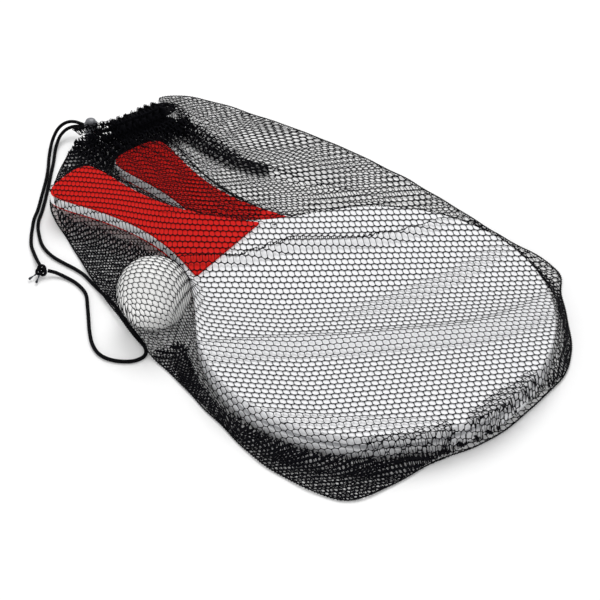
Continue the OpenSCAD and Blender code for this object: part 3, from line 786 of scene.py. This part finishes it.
def netPieces(name, cloth, z, inside, v, o, count, foldShare, region=None, seam=None):
    mesh = flatNet(name, cloth["half"] * cloth["spacing"], v)
    flat = meshPlaces(mesh)[:, :2]
    total = np.prod(np.ptp(flat, axis=0))
    flat = slipped(flat, v)
    places = clothAt(cloth, flat)
    away = sampled(inside, places) - v["seam"]
    beyond = np.maximum(np.minimum(away, 0), -v["edgePull"])
    places = places + beyond[:, None] * outwardAt(inside, places)  # the threads end in the seam
    along = flat @ (cloth["axes"] @ wayAt(o["hemAngle"]))
    much, up, out, over = v["foldWander"]
    wave = (2 * np.pi * along / v["foldLength"] + much * np.sin(flat[:, 1] / up)
            + np.sin(along / out + flat[:, 0] / over))
    slack = np.maximum(1 - (v["foldFrom"] / gatheredBy(places, v, o)) ** 2, 0)
    fold = v["foldLength"] / 4 * np.sqrt(slack) * foldShare * smoothStep(away / v["foldRise"])
    heights = sampled(z, places) + fold * (1 + np.sin(wave))
    if seam is not None:
        near, over = creaseValues["fromEdge"]
        rise, lean = creased(places, creaseValues, smoothStep((away - near) / over))
        heights, places = heights + rise, places + lean
    places = np.column_stack([places, heights])
    if seam is not None:
        places = roundBall(places, seam, outwardAt(seam, places[:, :2]), v)
    places[:, 2] = np.maximum(places[:, 2], v["floorGap"])
    if region is not None:
        away = np.minimum(away, sampled(region, places[:, :2]))
    corner = np.empty(len(mesh.loops), int)
    mesh.loops.foreach_get("vertex_index", corner)
    first = np.empty(len(mesh.polygons), int)
    mesh.polygons.foreach_get("loop_start", first)
    keep = np.maximum.reduceat(away[corner], first) > 0
    middle = np.add.reduceat(flat[corner, 0], first) / 3
    setPlaces(mesh, inMetres(places))
    cuts = np.quantile(middle[keep], np.linspace(0, 1, count + 1))
    made = []
    for k in range(count):
        mine = keep & (middle >= cuts[k]) & ((middle < cuts[k + 1]) | (k == count - 1))
        bm = bmesh.new()
        bm.from_mesh(mesh)
        bm.faces.ensure_lookup_table()
        bmesh.ops.delete(bm, geom=[bm.faces[i] for i in np.flatnonzero(~mine)], context="FACES")
        label = name + str(k + 1) * (count > 1)
        part = thickened(finished(bm, label), v["thickness"])
        made.append((label, part, total * mine.sum() / len(keep)))
    bpy.data.meshes.remove(mesh)
    return made


# flatArea in square mm, holes included
def declareNet(piece):  # reads the area of each face of the piece, and does nothing more with it
    sides = np.empty(len(piece.data.polygons))
    piece.data.polygons.foreach_get("area", sides)


def tuckedRegions(v, o, places, z, outline):  # how far inside the two bands of tucked net each place is
    nearEdge = outline[:(len(o["near"]) + len(o["closed"])) * o["steps"]]
    offNear = np.abs(besideLine(nearEdge, places)[0])
    atHandles = places[..., 0] < v["handlesEnd"]
    high = z > np.where(atHandles, v["tuckHandle"], v["tuckUnder"])
    free = np.where(high, -1.0, 3.0)  # no tucked net where the bag is higher than that
    wide = np.where(atHandles, v["tuckBroad"], v["tuckWidth"])
    offBall = toBall(places, v) - v["ball"][3] - v["ballGap"]
    strip = np.minimum(np.minimum(wide - offNear, free), offBall)
    far, width = v["rim"]
    rim = np.minimum(strip, width - np.abs(np.hypot(places[..., 0], places[..., 1]) - far))
    end, room = v["tuckEnd"]
    strip = np.minimum(strip, room - np.maximum(places[..., 1] + end, 0) * (places[..., 0] > 0))
    return rim, strip


def makeNets(v, o):
    places = gridPlaces(gridValues)
    heights = contentHeights(gridValues, places)
    outline = bagOutline(o)
    seam = insideBy(outline, places)
    inside = np.maximum(seam, v["ball"][3] + v["ballRoom"] - toBall(places, v))
    offHem, _ = besideLine(hemLine(o, (v["mouthSpan"][0], 0, 1)), places)
    cord, under = cordBelow(v, places), v["cordUnder"]
    held = v["edge"] + (v["hemTop"] - v["edge"]) * smoothStep(v["hemFlat"] - np.abs(offHem) / v["hemSpread"])
    held = np.maximum(held, cord + under["edge"])
    low = np.maximum(np.where(heights > 0, heights + v["clear"], v["edge"]), cord + under["net"])
    z = restingHeight(low, inside < v["seam"] / 2, held, v)
    print("net rests on what it holds, highest", round(float(z.max()), 1), "mm")
    near, over = creaseValues["fromRim"]
    rise, _ = creased(places, creaseValues, smoothStep((inside - near) / over))
    deep, first, second = v["floorWave"]
    floor = v["floorHeight"] + deep * np.sin(places[..., 0] / first) * np.sin(places[..., 1] / second)
    lower = np.maximum(floor, cord)
    top = laidCloth(z + rise, v, o, v["rowsTurn"])
    bottom = laidCloth(lower, v, o, v["rowsTurn"] + v["floorTurn"])
    print("net laid")

    folds = v["foldShare"]
    layers = [
        # name, cloth, heights, border, parts, folds, where it lies, seam, holes
        ("topNet", top, z, inside, 2, folds["topNet"], None, seam, "hole"),
        ("floorNet", bottom, lower, seam, 2, folds["floorNet"], None, None, "hole"),
    ]
    regions = tuckedRegions(v, o, places, z, outline)
    for k, (share, turn, crowd) in enumerate(v["tucks"]):
        layers.append(("tuckedNet" + str(k + 1), straightCloth(v, turn, crowd),
                       np.maximum(v["tuckLow"] + share * z, cord + under["tuck"]), seam, 1, 0.0,
                       regions[k], None, "tuckedHole"))
    for label, (line, width, turn, crowd) in v["doubled"].items():
        layers.append((label, straightCloth(v, turn, crowd), z + v["tuckLow"] + rise, seam, 1, 0.0,
                       width - np.abs(besideLine(line, places)[0]), None, "hole"))
    for label, line in (("mouth", hemLine(o, v["mouthSpan"])), ("streak", v["streak"])):
        offLine = np.abs(besideLine(line, places)[0])
        for k, (share, width) in enumerate(v[label + "Layers"]):
            layers.append((label + "Net" + str(k + 1), (bottom, top)[k % 2], v["tuckLow"] + share * z, seam,
                           1, folds["crowded"], width - offLine, None, "crowdedHole"))
    for name, cloth, field, border, count, share, region, edge, holes in layers:
        knit = dict(v, hole=v[holes])
        node, way = ("bag_bottom_net", "laid") if name == "floorNet" else ("bag_top_net", "gathered")
        parts = netPieces(name, cloth, field, border, knit, o, count, share, region, edge)
        for label, part, flatArea in parts:
            piece = addPiece(label, part, node, "netThread")
            declareNet(piece)
            print(piece.name, len(part.polygons), "faces")
    return outline, held


outline, netHeld = makeNets(netValues, outlineValues)


# Paddles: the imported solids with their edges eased, as paint and moulding leave them

paddleValues = {
    "boardEdge": 0.9, "gripEdge": 0.5, "segments": 3, "sharpFrom": 40, "flatWithin": 0.5, "upright": 0.999,
}


def easedCopy(node, edge, v):
    bm = bmesh.new()
    bm.from_mesh(nodes[node].data)
    bmesh.ops.remove_doubles(bm, verts=bm.verts, dist=0.001 * mm)
    bmesh.ops.dissolve_limit(bm, angle_limit=math.radians(v["flatWithin"]), verts=bm.verts, edges=bm.edges)
    sharp = [e for e in bm.edges if e.calc_face_angle(0) > math.radians(v["sharpFrom"])]
    bmesh.ops.bevel(bm, geom=sharp, offset=edge * mm, affect="EDGES", segments=v["segments"],
                    profile=0.5, material=-1, clamp_overlap=True)
    mesh = finished(bm, node)
    mesh.polygons.foreach_set("use_smooth", [abs(face.normal.z) < v["upright"] for face in mesh.polygons])
    return mesh


def makePaddles(v):
    for side in ("upper", "lower"):
        for part, edge, finish in (("board", v["boardEdge"], "whitePaint"),
                                   ("grip_top", v["gripEdge"], "redGrip"),
                                   ("grip_bottom", v["gripEdge"], "redGrip")):
            node = side + "_" + part
            addPiece(node + "_finished", easedCopy(node, edge, v), node, finish,
                     side + "_paddle")
    print("paddles ready")


makePaddles(paddleValues)


# Ball: a hollow rubber shell

ballValues = {"radius": 24.0, "wall": 3.5, "around": 72, "up": 36}


def makeBall(v):
    low, high = (Vector(p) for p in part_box("ball"))
    bm = bmesh.new()
    bmesh.ops.create_uvsphere(bm, u_segments=v["around"], v_segments=v["up"], radius=v["radius"] * mm)
    bmesh.ops.translate(bm, vec=(low + high) / 2, verts=bm.verts)
    shell = thickened(finished(bm, "ball"), v["wall"], -1)
    addPiece("ballShell", shell, "ball", "whiteRubber", "ball")
    print("ball ready")


makeBall(ballValues)


# What runs along the edges: a straight strip is made first, and then laid along a route

def alongRoute(mesh, route):  # X is the way along, Y lies to the left and Z stays up, all in mm
    route = np.array(route)
    run = runAlong(route)
    ways = unitRows(np.gradient(route, run, axis=0))
    sides = unitRows(np.cross(np.array((0, 0, 1.0)), ways))
    p = meshPlaces(mesh)
    share = np.clip(p[:, 0], 0, run[-1])
    base, side, up = (np.stack([np.interp(share, run, field[:, k]) for k in range(3)], 1)
                      for field in (route, sides, np.cross(ways, sides)))
    setPlaces(mesh, inMetres(base + side * p[:, 1:2] + up * p[:, 2:3]))


coilValues = {"turns": 12, "sides": 5, "merge": 0.02}


def stitch(name, route, length, node, turn, radius, thread):  # a coil of thread round a route
    v = coilValues
    bm = bmesh.new()
    ring = bmesh.ops.create_circle(bm, segments=v["sides"], radius=thread)["verts"]
    bmesh.ops.translate(bm, vec=(radius, 0, 0), verts=ring)
    for axis in ("Y", "X"):
        bmesh.ops.rotate(bm, cent=(0, 0, 0), matrix=Matrix.Rotation(math.radians(90), 3, axis), verts=ring)
    bmesh.ops.spin(bm, geom=bm.verts[:] + bm.edges[:], cent=(0, 0, 0), axis=(1, 0, 0),
                   dvec=(turn / v["turns"], 0, 0), angle=2 * math.pi, steps=v["turns"])
    bmesh.ops.recalc_face_normals(bm, faces=bm.faces)
    coil = repeated(finished(bm, name + "Stitches"), v["merge"], (int(length / turn), (turn, 0, 0)))
    alongRoute(coil, route)
    addPiece(name + "Stitches", coil, node, "seamThread")


# Seams: the net's edges overlocked together

seamValues = {
    "core": 0.38, "coreSides": 8, "step": 4.0, "turn": 2.1, "coil": 0.6, "thread": 0.19, "height": 1.35,
    "aside": 0.2, "wobble": (0.2, 5.1, 8.7), "ripple": (0.15, 6.3), "below": 0.2,
    "farEndsShort": 4,
}


def seamRoute(points, v):
    dense, length = evenly(points, v["step"])
    along = np.arange(len(dense)) * v["step"]
    ways = unitRows(np.gradient(dense, axis=0))
    much, first, second = v["wobble"]
    off = much * (np.sin(along / first) + np.sin(along / second + 1)) + v["aside"]
    plan = dense + off[:, None] * np.stack([-ways[:, 1], ways[:, 0]], 1)
    rise, wave = v["ripple"]
    heights = np.maximum(sampled(netHeld, dense) - v["below"], v["height"]) + rise * np.sin(along / wave)
    return np.column_stack([plan, heights]), length


def makeSeams(v, o):
    ends = np.cumsum([0, len(o["near"]), len(o["closed"]), len(o["far"])]) * o["steps"]
    for name, node, first, last in (("nearSeam", "side_seam_near", ends[0], ends[1] + 1),
                                    ("closedSeam", "bottom_seam", ends[1], ends[2] + 1),
                                    ("farSeam", "side_seam_far", ends[2], ends[3] - v["farEndsShort"])):
        route, length = seamRoute(outline[first:last], v)
        core = sweepTube(name, inMetres(route), v["core"] * mm, v["coreSides"])
        addPiece(name, core, node, "seamThread")
        stitch(name, route, length - v["turn"], node, v["turn"], v["coil"], v["thread"])
        print(name, "is", round(length), "mm long")


makeSeams(seamValues, outlineValues)


# Mouth: two pleated layers of hem with the cord inside, and a ruffled heading of net

hemValues = {
    "layerOff": 4.2, "pleats": 7, "pleatDepth": 2.6, "height": 13.6, "foot": 0.4, "thickness": 1.0,
    "pleatSteps": 10, "upSteps": 8, "flatTimes": 1.95, "pleatFade": (0.95, 0.3), "sway": (0.5, 3.1, 4),
    "topWave": (0.6, 4.3), "topRipple": (0.4, 1.9), "cordAlong": (0, 8, 20, 32), "cordPast": 0.5,
    "boreHeight": 7.5, "cordDiameter": 2.5, "cordStep": 1.5, "cordSides": 12, "cordTurn": 8,
    "topStitch": 1.1, "topThread": 0.26, "topTurn": 1.5, "topPlaces": 160, "topDepth": 0.64,
    "topStitchWave": 0.5, "topShort": 2,
}
ruffleShape = {  # what the ruffles have in common
    "step": 2, "spare": (6, 4), "flare": 0.7, "second": (0.4, 0.37, 2), "shift": 1.2, "rise": 0.9,
    "above": 0.3,
}
ruffleValues = [
    # route in the plan, height of its foot, width, cloth in a millimetre of route, wave,
    # lift as a share of upright
    {"name": "hoodRuffle",
     "route": [(-284, 130), (-277, 124), (-275, 114), (-278, 102), (-282, 90), (-287, 75), (-290, 66)],
     "foot": [5, 8.5, 13, 14, 14.3, 14, 12.5], "width": 11.0, "crowd": 4.0, "wave": 2.0,
     "waveLength": 7.0, "lift": -0.4},
    {"name": "topRuffle",
     "route": [(-282, 126), (-278, 116), (-280, 104), (-285, 90), (-290, 76), (-294, 66)],
     "foot": [6, 12.5, 13.8, 14.3, 14, 11.5], "width": 8.0, "crowd": 4.0, "wave": 1.8,
     "waveLength": 6.0, "lift": -0.05},
    {"name": "outerRuffle",
     "route": [(-292, 63), (-288, 76), (-283, 91), (-278, 106), (-276, 117), (-283, 129)],
     "foot": [12, 14, 14.3, 13.6, 11, 4], "width": 5.0, "crowd": 3.5, "wave": 1.6,
     "waveLength": 6.0, "lift": -0.6},
    {"name": "lockHood",
     "route": [(-279, 77), (-287, 69), (-291.5, 62.5), (-296, 60.5), (-300, 60)],
     "foot": [11.5, 11.5, 11, 9.5, 6.5], "width": 10.5, "crowd": 4.0, "wave": 1.5,
     "waveLength": 7.0, "lift": 0.85},
]


def hemPlace(along, across, high, o):
    c, s = wayAt(o["hemAngle"])
    plan = (np.array(o["hemFrom"]) + along[..., None] * np.array((c, s))
            + across[..., None] * np.array((-s, c)))
    return np.concatenate([plan, high[..., None]], -1)


def makeHemLayer(name, node, side, v, o):
    length = o["hemLength"]
    turn = 2 * np.pi / (length / v["pleats"])
    bm = bmesh.new()
    bmesh.ops.create_grid(bm, x_segments=v["pleats"] * v["pleatSteps"], y_segments=v["upSteps"], size=0.5)
    mesh = finished(bm, name)
    p = meshPlaces(mesh)
    along, high = (p[:, 0] + 0.5) * length, (p[:, 1] + 0.5)
    deep, less = v["pleatFade"]  # the pleats are shallower at the top
    swing = v["pleatDepth"] * np.sin(turn * along) * (deep - less * high ** 2)
    much, slow, twist = v["sway"]
    swing += much * np.sin(along / slow + twist * high) * high
    (wave, slow), (ripple, fast) = v["topWave"], v["topRipple"]
    top = v["height"] + wave * np.sin(along / slow + side) + ripple * np.sin(along / fast)
    up = v["foot"] + high * top
    setPlaces(mesh, inMetres(hemPlace(along, side * v["layerOff"] + swing, up, o)))
    piece = addPiece(name, thickened(mesh, v["thickness"]), node, "seamThread")
    along = np.linspace(0, length, v["topPlaces"])
    across = side * v["layerOff"] + v["topDepth"] * v["pleatDepth"] * np.sin(turn * along)
    up = v["foot"] + v["height"] + v["topStitchWave"] * np.sin(along / slow + side)
    edge = hemPlace(along, across, up, o)
    stitched = runAlong(edge)[-1] - v["topShort"]
    stitch(name, edge, stitched, node, v["topTurn"], v["topStitch"], v["topThread"])


def makeHemCord(v, o):
    length, off = o["hemLength"], v["layerOff"]
    angles = np.pi * np.arange(1, v["cordTurn"]) / v["cordTurn"]
    along, past = [*v["cordAlong"], length], length + v["cordPast"]
    local = np.array([(s, -off) for s in along]
                     + [(past + off * math.sin(a), -off * math.cos(a)) for a in angles]
                     + [(s, off) for s in along[::-1]])
    places = hemPlace(local[:, 0], local[:, 1], np.full(len(local), v["boreHeight"]), o)
    route, _ = smoothRoute(places, v["cordStep"])
    core = sweepTube("hemCord", inMetres(route), v["cordDiameter"] / 2 * mm, v["cordSides"])
    addPiece("hemCord", core, "cord_in_hem", "braid")


def makeRuffle(v, net):
    route, length = smoothRoute(np.column_stack([v["route"], v["foot"]]), v["step"])
    size = np.array((length * v["crowd"] / 2 + v["spare"][0], v["width"] / 2 + v["spare"][1]))
    mesh = flatNet(v["name"], size, dict(net, hole=net["crowdedHole"]))
    p = meshPlaces(mesh)
    along, across = p[:, 0] + size[0], np.minimum(p[:, 1] + size[1], v["width"])
    share = across / v["width"]
    phase = 2 * np.pi * along / v["waveLength"]
    much, slower, start = v["second"]
    swing = v["wave"] * share ** v["flare"] * (np.sin(phase) + much * np.sin(phase * slower + start))
    lean = v["lift"] * math.pi / 2
    setPlaces(mesh, np.column_stack([
        along / v["crowd"] + v["shift"] * np.cos(phase) * share,
        across * math.cos(lean) + swing * math.sin(lean),
        across * math.sin(lean) * v["rise"] + np.abs(swing) * math.cos(lean) + v["above"]]))
    alongRoute(mesh, route)
    piece = addPiece(v["name"], thickened(mesh, net["thickness"]), "bag_top_net", "netThread")
    declareNet(piece)


makeHemLayer("hemOuterLayer", "hem_top_layer", 1, hemValues, outlineValues)
makeHemLayer("hemInnerLayer", "hem_bottom_layer", -1, hemValues, outlineValues)
makeHemCord(hemValues, outlineValues)
print("hem ready")
for ruffle in ruffleValues:
    makeRuffle(dict(ruffleShape, **ruffle), netValues)
print("ruffles ready")


# Knot and its frayed ends

knotValues = {
    "at": (-222, -73.5, 4.5), "across": 9.0, "cord": 2.0, "tilt": (35, 20), "rings": 110, "sides": 10,
    "ends": {"frayedShort": ("cord_tail_short", (-0.30, -0.92, -0.25)),
             "frayedLong": ("cord_tail_long", (0.32, -0.91, -0.27))},
    "yarns": 26, "yarnLength": 6.3, "yarnRadius": 0.3, "yarnTip": 0.45, "yarnSides": 5,
    "spread": 15, "spin": 2.4, "bundle": 0.55, "uneven": (0.86, 0.14, 5), "sunk": 0.2,
    "floorGap": 0.3,
}


def makeKnot(v):
    step = (v["across"] - v["cord"]) / 6
    a = np.linspace(0, 2 * np.pi, v["rings"])
    loop = step * np.stack([(2 + np.cos(3 * a)) * np.cos(2 * a), (2 + np.cos(3 * a)) * np.sin(2 * a),
                            np.sin(3 * a)], 1)
    x, y = (math.radians(t) for t in v["tilt"])
    turn = np.array(Matrix.Rotation(y, 3, "Y") @ Matrix.Rotation(x, 3, "X"))
    mesh = sweepTube("knot", inMetres(loop @ turn.T + np.array(v["at"])), v["cord"] / 2 * mm, v["sides"])
    return addPiece("knot", mesh, "cord_knot", "braid")


def makeFrayedEnd(name, node, way, v):
    way = Vector(way).normalized()
    least, more, turn = v["uneven"]
    bm = bmesh.new()
    for k in range(v["yarns"]):
        share = math.sqrt((k + 0.5) / v["yarns"])  # of the spread, from the middle out
        yarn = bmesh.ops.create_cone(
            bm, cap_ends=True, segments=v["yarnSides"], radius1=v["yarnRadius"],
            radius2=v["yarnRadius"] * v["yarnTip"],
            depth=v["yarnLength"] * (least + more * math.sin(turn * k)))["verts"]
        aside = Matrix.Translation((0, v["bundle"] * share, 0))
        lean = Matrix.Rotation(math.radians(v["spread"]) * share, 4, "X")
        raised = Matrix.Translation((0, 0, v["yarnLength"] / 2))
        spin = Matrix.Rotation(v["spin"] * k, 4, "Z")
        bmesh.ops.transform(bm, matrix=spin @ aside @ lean @ raised, verts=yarn)
    place = Matrix.Translation(Vector(v["at"]) + faceAt + way * (v["across"] / 2 - v["sunk"]))
    bmesh.ops.transform(bm, matrix=Matrix.Scale(mm, 4) @ place
                        @ way.to_track_quat("Z", "Y").to_matrix().to_4x4(), verts=bm.verts)
    for w in bm.verts:  # the yarns that point down spread on the floor
        w.co.z = max(w.co.z, v["floorGap"] * mm)
    return addPiece(name, finished(bm, name), node, "frayedYarn")


knot = makeKnot(knotValues)
shortEnd, longEnd = (makeFrayedEnd(name, node, way, knotValues) for name, (node, way)
                     in knotValues["ends"].items())
print("knot ready")


# Drawcord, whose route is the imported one

cordValues = {"diameter": 2.5, "step": 1.5, "sides": 12, "zHigh": 10.8, "zLow": 8.2, "zFloor": 1.3}


def cordPoints(v):
    h, w, f = v["zHigh"], v["zLow"], v["zFloor"]
    shortRoute = [
        (-288.06, 79.08, 7.5), (-289.1, 75.2, 8.1), (-290.2, 71.5, 9.6), (-292.8, 68.5, h),
        (-298.5, 68.5, h), (-304, 68.5, h), (-309, 68.5, h), (-313.5, 67.8, 11),
        (-317.3, 65, 11.2), (-319.3, 60.3, 10.8), (-319.8, 55, 9.2), (-318.5, 49, 6.8), (-316, 43, 4.4),
        (-312.5, 37, 2.4), (-307.5, 30, 1.4), (-301, 22, f), (-292, 9.5, f),
        (-281.5, -7, f), (-273, -20.5, f), (-268, -30, f), (-262, -38.5, f),
        (-255.5, -47, f), (-249, -54, f), (-241, -60, 1.7), (-233, -65.5, 3), (-226, -70, 4.3)]
    longRoute = [
        (-280.03, 76.63, 7.5), (-281.2, 73, 7.4), (-284, 70, 7.6), (-288.5, 68.6, w),
        (-293.5, 68.5, w), (-298.5, 68.5, w), (-304, 68.5, w), (-308.5, 68.4, w),
        (-312.4, 66.6, 8.1), (-315, 62.8, 8.1), (-316.2, 58, 7.3), (-315.8, 52, 5.6), (-313, 45, 3.2),
        (-309, 38.5, 2), (-302.5, 29.5, f), (-295, 18.5, f), (-286, 5.5, f),
        (-277, -8, f), (-269.5, -20, f), (-264.5, -29, f), (-259, -36, f),
        (-252, -42.5, f), (-244.5, -48.5, f), (-236.5, -52.5, f), (-227.5, -55, f),
        (-217.5, -56, f), (-207.5, -56.5, f), (-198, -58, f), (-188, -61.5, f),
        (-178, -65, f), (-167, -68.5, f), (-156, -73, f), (-145, -78.5, f),
        (-134, -84, f), (-123, -89, f), (-115, -93.5, f), (-111, -99.5, f),
        (-113.5, -107, f), (-121, -112.5, f), (-129.5, -115, f), (-138, -114, f),
        (-147, -109, f), (-156, -101, f), (-165.5, -91, f), (-175, -81, f),
        (-182, -74, f), (-189, -70, f), (-198, -67.5, f), (-207.5, -67.2, 1.7),
        (-214, -68.5, 3), (-218.5, -71, 4.3)]
    return [[Vector(p) + faceAt for p in route] for route in (shortRoute, longRoute)]


def makeCords(v):
    lock = [nodes[name] for name in ("lock_body", "lock_plunger", "lock_spring")]
    for name, points, node, held in zip(("shortStrand", "longStrand"), cordPoints(v),
                                        ("cord_short_strand", "cord_long_strand"),
                                        ([shortEnd], [knot, longEnd, *lock])):
        route, length = smoothRoute(points, v["step"])
        mesh = sweepTube(name, route * mm, v["diameter"] / 2 * mm, v["sides"])
        piece = addPiece(name, mesh, node, "braid")
        print(name, "is", round(length, 1), "mm long")


makeCords(cordValues)


# Cord lock

lockFinishes = {"lock_body": "smokePlastic", "lock_plunger": "smokePlastic", "lock_spring": "springSteel"}
for lockNode, finish in lockFinishes.items():
    data = nodes[lockNode].data
    data.materials.clear()
    data.materials.append(finishes[finish])
print("lock ready")
